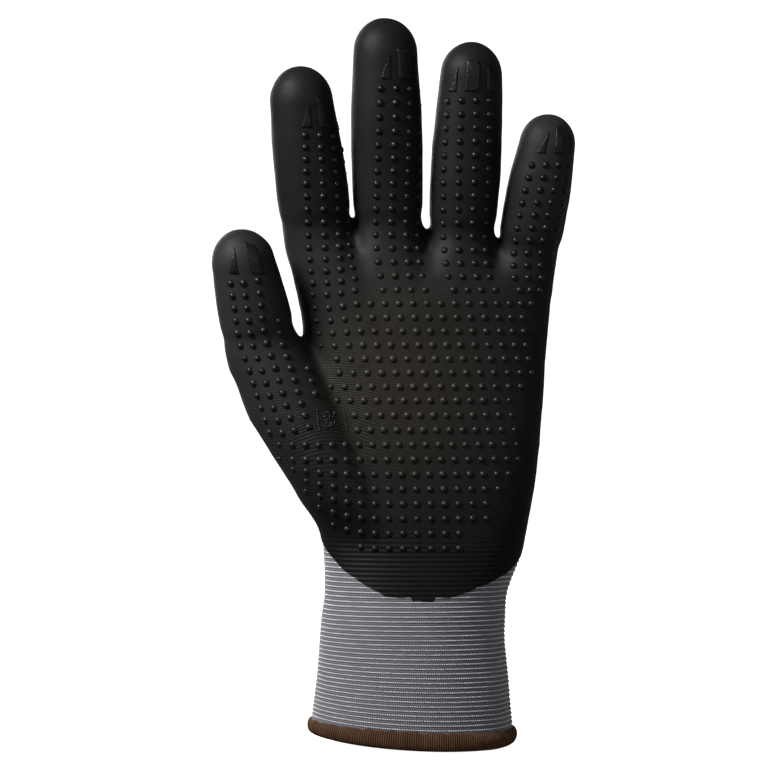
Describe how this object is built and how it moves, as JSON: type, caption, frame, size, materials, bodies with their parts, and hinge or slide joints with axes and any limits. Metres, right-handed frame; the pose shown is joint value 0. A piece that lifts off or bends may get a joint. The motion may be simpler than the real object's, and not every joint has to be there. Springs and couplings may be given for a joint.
{
  "type": "coated knit work glove",
  "caption": "Left-hand knitted work glove with a foam-coated palm, raised grip dots, fingertip grip patches and an elastic cuff; fingers and thumb bend at their knuckles.",
  "frame": {"origin": "centre of the cuff's opening, in the plane of its rim", "axes": "+Z along the fingers, -Y out of the palm, -X to the thumb"},
  "size_m": [0.1228, 0.0525, 0.2473],
  "materials": {
    "knit": "grey seamless knit",
    "elastic": "light grey covered elastic yarn",
    "hem": "brown overlock thread",
    "coating": "matte micro-foam",
    "dots": "semi-gloss"
  },
  "bodies": {
    "hand": {"cuff_knit": "knit", "cuff_elastic": "elastic", "hem_overlock": "hem", "hand_knit": "knit", "hand_coating": "coating", "hand_dots": "dots"},
    "index_base": {"index_base_knit": "knit", "index_base_coating": "coating", "index_base_dots": "dots", "index_knuckle_folds": "coating"},
    "index_mid": {"index_mid_knit": "knit", "index_mid_coating": "coating", "index_mid_dots": "dots"},
    "index_tip": {"index_tip_knit": "knit", "index_tip_coating": "coating", "index_tip_dots": "dots", "index_tip_grips": "dots"},
    "middle_base": {"middle_base_knit": "knit", "middle_base_coating": "coating", "middle_base_dots": "dots", "middle_knuckle_folds": "coating"},
    "middle_mid": {"middle_mid_knit": "knit", "middle_mid_coating": "coating", "middle_mid_dots": "dots"},
    "middle_tip": {"middle_tip_knit": "knit", "middle_tip_coating": "coating", "middle_tip_dots": "dots", "middle_tip_grips": "dots"},
    "ring_base": {"ring_base_knit": "knit", "ring_base_coating": "coating", "ring_base_dots": "dots", "ring_knuckle_folds": "coating"},
    "ring_mid": {"ring_mid_knit": "knit", "ring_mid_coating": "coating", "ring_mid_dots": "dots"},
    "ring_tip": {"ring_tip_knit": "knit", "ring_tip_coating": "coating", "ring_tip_dots": "dots", "ring_tip_grips": "dots"},
    "little_base": {"little_base_knit": "knit", "little_base_coating": "coating", "little_base_dots": "dots", "little_knuckle_folds": "coating"},
    "little_mid": {"little_mid_knit": "knit", "little_mid_coating": "coating", "little_mid_dots": "dots"},
    "little_tip": {"little_tip_knit": "knit", "little_tip_coating": "coating", "little_tip_dots": "dots", "little_tip_grips": "dots"},
    "thumb_base": {"thumb_base_knit": "knit", "thumb_base_coating": "coating", "thumb_base_dots": "dots", "thumb_knuckle_folds": "coating"},
    "thumb_tip": {"thumb_tip_knit": "knit", "thumb_tip_coating": "coating", "thumb_tip_dots": "dots", "thumb_tip_grips": "dots"}
  },
  "joints": [
    {"name": "index_root_bend", "type": "hinge", "parent": "hand", "child": "index_base", "pos_m": [-0.032, -0.00468, 0.17449], "axis": [1, 0, 0], "range_deg": [0, 35], "stiffness_Nm_per_rad": 0.03, "deforming": ["index_knuckle_folds"]},
    {"name": "index_middle_bend", "type": "hinge", "parent": "index_base", "child": "index_mid", "pos_m": [-0.03364, -0.00792, 0.18853], "axis": [1, 0, 0], "range_deg": [0, 50], "stiffness_Nm_per_rad": 0.03},
    {"name": "index_end_bend", "type": "hinge", "parent": "index_mid", "child": "index_tip", "pos_m": [-0.03528, -0.01116, 0.20256], "axis": [1, 0, 0], "range_deg": [0, 29], "stiffness_Nm_per_rad": 0.03},
    {"name": "middle_root_bend", "type": "hinge", "parent": "hand", "child": "middle_base", "pos_m": [-0.00774, -0.00431, 0.1752], "axis": [1, 0, 0], "range_deg": [0, 35], "stiffness_Nm_per_rad": 0.03, "deforming": ["middle_knuckle_folds"]},
    {"name": "middle_middle_bend", "type": "hinge", "parent": "middle_base", "child": "middle_mid", "pos_m": [-0.00816, -0.00851, 0.19679], "axis": [1, 0, 0], "range_deg": [0, 50], "stiffness_Nm_per_rad": 0.03},
    {"name": "middle_end_bend", "type": "hinge", "parent": "middle_mid", "child": "middle_tip", "pos_m": [-0.00858, -0.0127, 0.21838], "axis": [1, 0, 0], "range_deg": [0, 29], "stiffness_Nm_per_rad": 0.03},
    {"name": "ring_root_bend", "type": "hinge", "parent": "hand", "child": "ring_base", "pos_m": [0.01725, -0.00411, 0.17225], "axis": [1, 0, 0], "range_deg": [0, 35], "stiffness_Nm_per_rad": 0.03, "deforming": ["ring_knuckle_folds"]},
    {"name": "ring_middle_bend", "type": "hinge", "parent": "ring_base", "child": "ring_mid", "pos_m": [0.01837, -0.00794, 0.19287], "axis": [1, 0, 0], "range_deg": [0, 50], "stiffness_Nm_per_rad": 0.03},
    {"name": "ring_end_bend", "type": "hinge", "parent": "ring_mid", "child": "ring_tip", "pos_m": [0.01946, -0.01167, 0.213], "axis": [1, 0, 0], "range_deg": [0, 29], "stiffness_Nm_per_rad": 0.03},
    {"name": "little_root_bend", "type": "hinge", "parent": "hand", "child": "little_base", "pos_m": [0.0395, -0.0039, 0.1661], "axis": [1, 0, 0], "range_deg": [0, 35], "stiffness_Nm_per_rad": 0.03, "deforming": ["little_knuckle_folds"]},
    {"name": "little_middle_bend", "type": "hinge", "parent": "little_base", "child": "little_mid", "pos_m": [0.04183, -0.007, 0.17955], "axis": [1, 0, 0], "range_deg": [0, 50], "stiffness_Nm_per_rad": 0.03},
    {"name": "little_end_bend", "type": "hinge", "parent": "little_mid", "child": "little_tip", "pos_m": [0.04409, -0.01, 0.19252], "axis": [1, 0, 0], "range_deg": [0, 29], "stiffness_Nm_per_rad": 0.03},
    {"name": "thumb_root_bend", "type": "hinge", "parent": "hand", "child": "thumb_base", "pos_m": [-0.0491, -0.01114, 0.13651], "axis": [0.8644, 0.4062, 0.2963], "range_deg": [0, 20], "stiffness_Nm_per_rad": 0.03, "deforming": ["thumb_knuckle_folds"]},
    {"name": "thumb_end_bend", "type": "hinge", "parent": "thumb_base", "child": "thumb_tip", "pos_m": [-0.05219, -0.01555, 0.15158], "axis": [0.8644, 0.4062, 0.2963], "range_deg": [0, 35], "stiffness_Nm_per_rad": 0.03}
  ],
  "couplings": [
    {"joint": "index_end_bend", "follows": "index_middle_bend", "ratio": 0.58},
    {"joint": "middle_end_bend", "follows": "middle_middle_bend", "ratio": 0.58},
    {"joint": "ring_end_bend", "follows": "ring_middle_bend", "ratio": 0.58},
    {"joint": "little_end_bend", "follows": "little_middle_bend", "ratio": 0.58}
  ]
}
